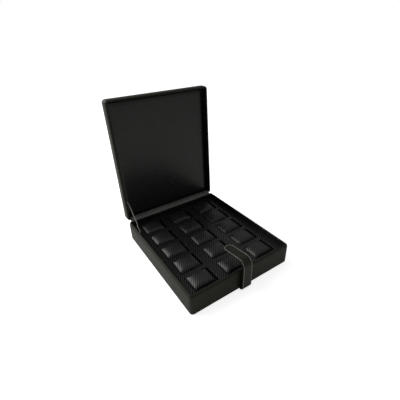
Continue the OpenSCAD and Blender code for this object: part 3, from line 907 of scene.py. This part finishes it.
def add_hinge():
    """One leather inside, over the stepped-back rims, and one outside, over the back."""
    rear, wall, half_w = CASE_D / 2, CASE_D / 2 - WALL_T, HINGE_HALF_W - 0.3
    base_z, lid_z = BASE_H - HINGE_RECESS + HINGE_T, HINGE_RECESS - HINGE_T
    inner = fold_line(
        [(wall + 0.1, base_z - 0.1), (wall + 0.5, base_z), (rear - 3.2, base_z), (rear - 1.6, base_z)],
        [
            (rear - 1.6, lid_z), (rear - 3.2, lid_z), (wall + 0.5, lid_z), (wall + 0.1, HINGE_RECESS - 0.3),
            (wall, HINGE_RECESS + 0.6), (wall, HINGE_TURN_IN / 2), (wall, HINGE_TURN_IN - 0.6),
            (wall + 0.4, HINGE_TURN_IN),
        ],
        bend=(rear - 0.9, BASE_H - 0.1),
    )
    piece = paint(band("hinge_leather_inner", inner, half_w, -INNER_LEATHER_T), HINGE_SKIN)
    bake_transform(piece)
    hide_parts("inner_hinge_base", "inner_hinge_lid")
    back, low = rear + HINGE_T, BASE_H - HINGE_FLAP
    outer = fold_line(
        [(back - 0.3, low - 0.6), (back, low), (back, BASE_H - 12), (back, BASE_H - 2.6)],
        [(back, 2.6), (back, 12), (back, HINGE_FLAP), (back - 0.3, HINGE_FLAP + 0.6)],
        bend=(back + 1.2, BASE_H - 0.4),
    )
    piece = paint(band("hinge_leather_outer", outer, half_w, OUTER_LEATHER_T), COVER)
    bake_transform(piece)
    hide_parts("outer_hinge_base", "outer_hinge_lid")


add_hinge()

# ---- strap ----


class Path:
    """A line in the (y, z) plane made of straight and curved parts, walked by length."""

    def __init__(self, at, heading):
        self.at, self.heading, self.parts, self.length = Vector(at), math.radians(heading), [], 0.0

    def go(self, long, turn=0.0):
        """Adds a part of that length, turning right by turn degrees over it."""
        self.parts.append((self.length, long, self.at.copy(), self.heading, math.radians(turn)))
        self.at, self.heading = self.step(self.parts[-1], long)
        self.length += long
        return self

    @staticmethod
    def step(part, s):
        """The place and heading s along one part."""
        _, long, at, heading, turn = part
        if not turn:
            return at + s * Vector((math.cos(heading), math.sin(heading))), heading
        now, r = heading - turn * s / long, long / turn
        return at + r * Vector((math.sin(heading) - math.sin(now), math.cos(now) - math.cos(heading))), now

    def frame(self, s):
        """The point at length s, and the direction to the line's left."""
        part = next(p for p in reversed(self.parts) if s >= p[0] or p is self.parts[0])
        at, heading = self.step(part, s - part[0])
        return at, Vector((-math.sin(heading), math.cos(heading)))


UPRIGHT = STRAP_TOP_Z - STRAP_BEND_R - (ROOT_Z + ROOT_BEND_R)
STRAP_PATH = (
    Path((ROOT_INNER_Y, ROOT_Z), 180)
    .go(ROOT_LONG)
    .go(ROOT_BEND_R * math.pi / 2, 90)
    .go(UPRIGHT)
    .go(STRAP_BEND_R * math.radians(90 + STRAP_DROOP), 90 + STRAP_DROOP)
    .go(STRAP_REACH + STRAP_W)
)
TIP_FROM, TIP_R = STRAP_PATH.length - STRAP_W, STRAP_W / 2
# Lengths along the strap: the upright's lower end, the cut between the two pieces, the first stitch
UPRIGHT_FROM = ROOT_LONG + ROOT_BEND_R * math.pi / 2
SPLIT_S, STITCH_FROM = UPRIGHT_FROM + 20.0, ROOT_LONG + 2
STRAP_ROW = 2.5  # between the mesh's cross sections

# (distance in from the strap's edge, depth below its face) over half of it, with the stitches' groove
STRAP_FACE = (
    (0.0, 1.5), (0.08, 0.85), (0.4, 0.35), (1.0, 0.12), (1.75, 0.16), (2.0, 0.34), (2.25, 0.42), (2.5, 0.34),
    (2.8, 0.14), (4.2, 0.02), (8.5, 0.0), (TIP_R, 0.0),
)
# (distance in from the edge, share of the thickness) over half of its back
STRAP_BACK = ((0.0, 0.55), (0.12, 0.8), (0.5, 0.97), (1.2, 1.0), (8.5, 1.0), (TIP_R, 1.0))
STITCH_INSET, STITCH_SINK = 2.25, 0.12
STITCH_PITCH, STITCH_LONG, STITCH_W = 4.0, 3.1, 1.0


def strap_row(s, turn=0.0):
    """A cross section at length s, flatter in the root. turn sweeps it round the tip."""
    thick = ROOT_T + (STRAP_T - ROOT_T) * smoothstep((s - ROOT_LONG + 2) / STRAP_ROW)
    relief = 1.0 if s > STITCH_FROM else 0.6
    half = [(inset, -depth * relief) for inset, depth in reversed(STRAP_FACE)]
    half += [(inset, -share * thick) for inset, share in STRAP_BACK]
    row = []
    for side in (1, -1):
        for inset, height in (half if side > 0 else reversed(half[1:-1])):
            reach = TIP_R - inset
            at, out = STRAP_PATH.frame(s + reach * math.sin(turn))
            x = side * reach * math.cos(turn)
            row.append((x, *(at + out * height)))
    return row


def strap_piece(name, rows):
    return paint(make(name, *loft(rows, caps=True), merge=0.01, sharp=60), STRAP_SKIN)


def capsule(start, end, out, width, sides=8):
    """Points and faces of one stitch, a rounded thread between two points."""
    ahead = (end - start).normalized()
    side = ahead.cross(out).normalized()
    rings = []
    shares, sizes = (0.0, 0.05, 0.16, 0.5, 0.84, 0.95, 1.0), (0.25, 0.65, 0.95, 1.0, 0.95, 0.65, 0.25)
    for share, size in zip(shares, sizes):
        dip = 0.28 * (2 * share - 1) ** 4  # its ends go down into the leather
        centre = start.lerp(end, share) - out * dip
        rings.append([
            centre + size * width / 2 * (math.cos(a) * side + 0.75 * math.sin(a) * out)
            for a in (2 * math.pi * k / sides for k in range(sides))
        ])
    return loft(rings, caps=True)


def stitch_places():
    """(length along the strap, across) of points up one side, round the tip and down the other."""
    reach = TIP_R - STITCH_INSET
    straight = np.arange(STITCH_FROM, TIP_FROM, 0.5).tolist()
    round_tip = np.linspace(0, math.pi, 71).tolist()
    line = [(s, -reach) for s in straight]
    line += [(TIP_FROM + reach * math.sin(a), -reach * math.cos(a)) for a in round_tip]
    return line + [(s, reach) for s in reversed(straight)]


def add_stitches():
    """The strap's stitches, in one mesh for each of its two pieces."""
    spots, parts = [], {"lower": ([], []), "upper": ([], [])}
    for s, x in stitch_places():
        at, out = STRAP_PATH.frame(s)
        spots.append((Vector((x, *at)), Vector((0, *out)), s))
    along = np.concatenate([[0], np.cumsum([(b[0] - a[0]).length for a, b in zip(spots, spots[1:])])])
    for start in np.arange(0.5, along[-1] - STITCH_LONG, STITCH_PITCH):
        i, j = (int(np.argmin(np.abs(along - t))) for t in (start, start + STITCH_LONG))
        out = spots[i][1]
        points, faces = capsule(*(spots[k][0] - out * STITCH_SINK for k in (i, j)), out, STITCH_W)
        all_points, all_faces = parts["lower" if spots[i][2] < SPLIT_S else "upper"]
        faces = [tuple(k + len(all_points) for k in face) for face in faces]
        all_points += points
        all_faces += faces
    return {key: paint(make(f"strap_stitches_{key}", *value), THREAD) for key, value in parts.items()}


def add_strap():
    """The strap in two pieces: its root and the foot of its upright, and the rest."""
    bend_from, bend_to = UPRIGHT_FROM + UPRIGHT, TIP_FROM - STRAP_REACH
    lower_s = [0, 0.6, 12, 24, ROOT_LONG - 4, ROOT_LONG - 2, ROOT_LONG - 1]
    lower_s += np.linspace(ROOT_LONG, UPRIGHT_FROM, 9).tolist()
    lower_s += np.arange(UPRIGHT_FROM + STRAP_ROW, SPLIT_S - 1, STRAP_ROW).tolist() + [SPLIT_S]
    upper_s = np.arange(SPLIT_S, bend_from - 1, STRAP_ROW).tolist()
    upper_s += np.linspace(bend_from, bend_to, 16).tolist()
    upper_s += np.linspace(bend_to + 3, TIP_FROM, 13).tolist()
    tip = [strap_row(TIP_FROM, turn) for turn in quarter_turn(14)]
    stitches = add_stitches()
    lower = strap_piece("strap_leather_lower", [strap_row(s) for s in lower_s])
    upper = strap_piece("strap_leather_upper", [strap_row(s) for s in upper_s] + tip)
    for piece in (lower, stitches["lower"]):
        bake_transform(piece)
    for piece in (upper, stitches["upper"]):
        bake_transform(piece)
    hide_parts("strap_root")
    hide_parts("strap_lower", "strap_tip")


add_strap()

# ---- CAD nodes that keep their shape ----

KEPT = {
    BOARD: ["base_bottom"],
    CARD: ["base_underside", "tray_floor"],
    FOAM: ["tray_rails", "tray_cross_bars"],
    STEEL: ["strap_tacks", "strap_keeper_plate", "strap_magnet"],
}
for material, names in KEPT.items():
    for name in names:
        paint(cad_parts[name], material)
set_modifier(
    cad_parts["base_underside"], "BEVEL",
    width=0.4 * MM, segments=2, limit_method="ANGLE", harden_normals=True,
)

# ---- studio ----

FLOOR_HALF = 40000.0
SKY_LIGHT = 0.34  # on the case
FLOOR_LIFT, FLOOR_GLEAM = 0.74, 0.2  # the floor's own light, as the camera and as reflections see it


def add_floor():
    """A pale floor, lifted to white where the camera sees it directly."""
    corners = [(x * FLOOR_HALF, y * FLOOR_HALF, -0.1) for x, y in ((-1, -1), (1, -1), (1, 1), (-1, 1))]
    floor = make("floor", corners, [(0, 1, 2, 3)])
    s = Shader("floor", Roughness=0.9, Specular_IOR_Level=0.0, Base_Color=(0.80, 0.80, 0.79, 1))
    path = s.tree.nodes.new("ShaderNodeLightPath")
    seen, mirrored = (path.outputs[f"Is {kind} Ray"] for kind in ("Camera", "Glossy"))
    lift = s.math("ADD", s.math("MULTIPLY", seen, FLOOR_LIFT), s.math("MULTIPLY", mirrored, FLOOR_GLEAM))
    s.set(s.surface, {"Emission Color": (1, 1, 1, 1), "Emission Strength": lift})
    paint(floor, s.material)


def add_light(place, aim, size, power):
    """A square lamp, in metres and watts."""
    data = bpy.data.lights.new("key", "AREA")
    data.shape, data.size, data.energy = "SQUARE", size, power
    light = add_object("key", data)
    light.location = place
    light.rotation_mode = "QUATERNION"
    light.rotation_quaternion = (Vector(aim) - Vector(place)).to_track_quat("-Z", "Y")


def add_world():
    """A dim, even sky that is white where the camera sees it directly."""
    world = bpy.data.worlds.new("studio")
    bpy.context.scene.world = world
    world.use_nodes = True
    tree = world.node_tree
    background, path = tree.nodes["Background"], tree.nodes.new("ShaderNodeLightPath")
    background.inputs["Color"].default_value = (1, 1, 1, 1)
    level = tree.nodes.new("ShaderNodeMapRange")
    level.inputs["To Min"].default_value = SKY_LIGHT
    tree.links.new(path.outputs["Is Camera Ray"], level.inputs["Value"])
    tree.links.new(level.outputs[0], background.inputs["Strength"])


add_floor()
add_world()
add_light(place=(-0.94, 1.22, 1.28), aim=(0, 0, 0.05), size=1.8, power=37)
bpy.context.scene.view_settings.view_transform = "Standard"
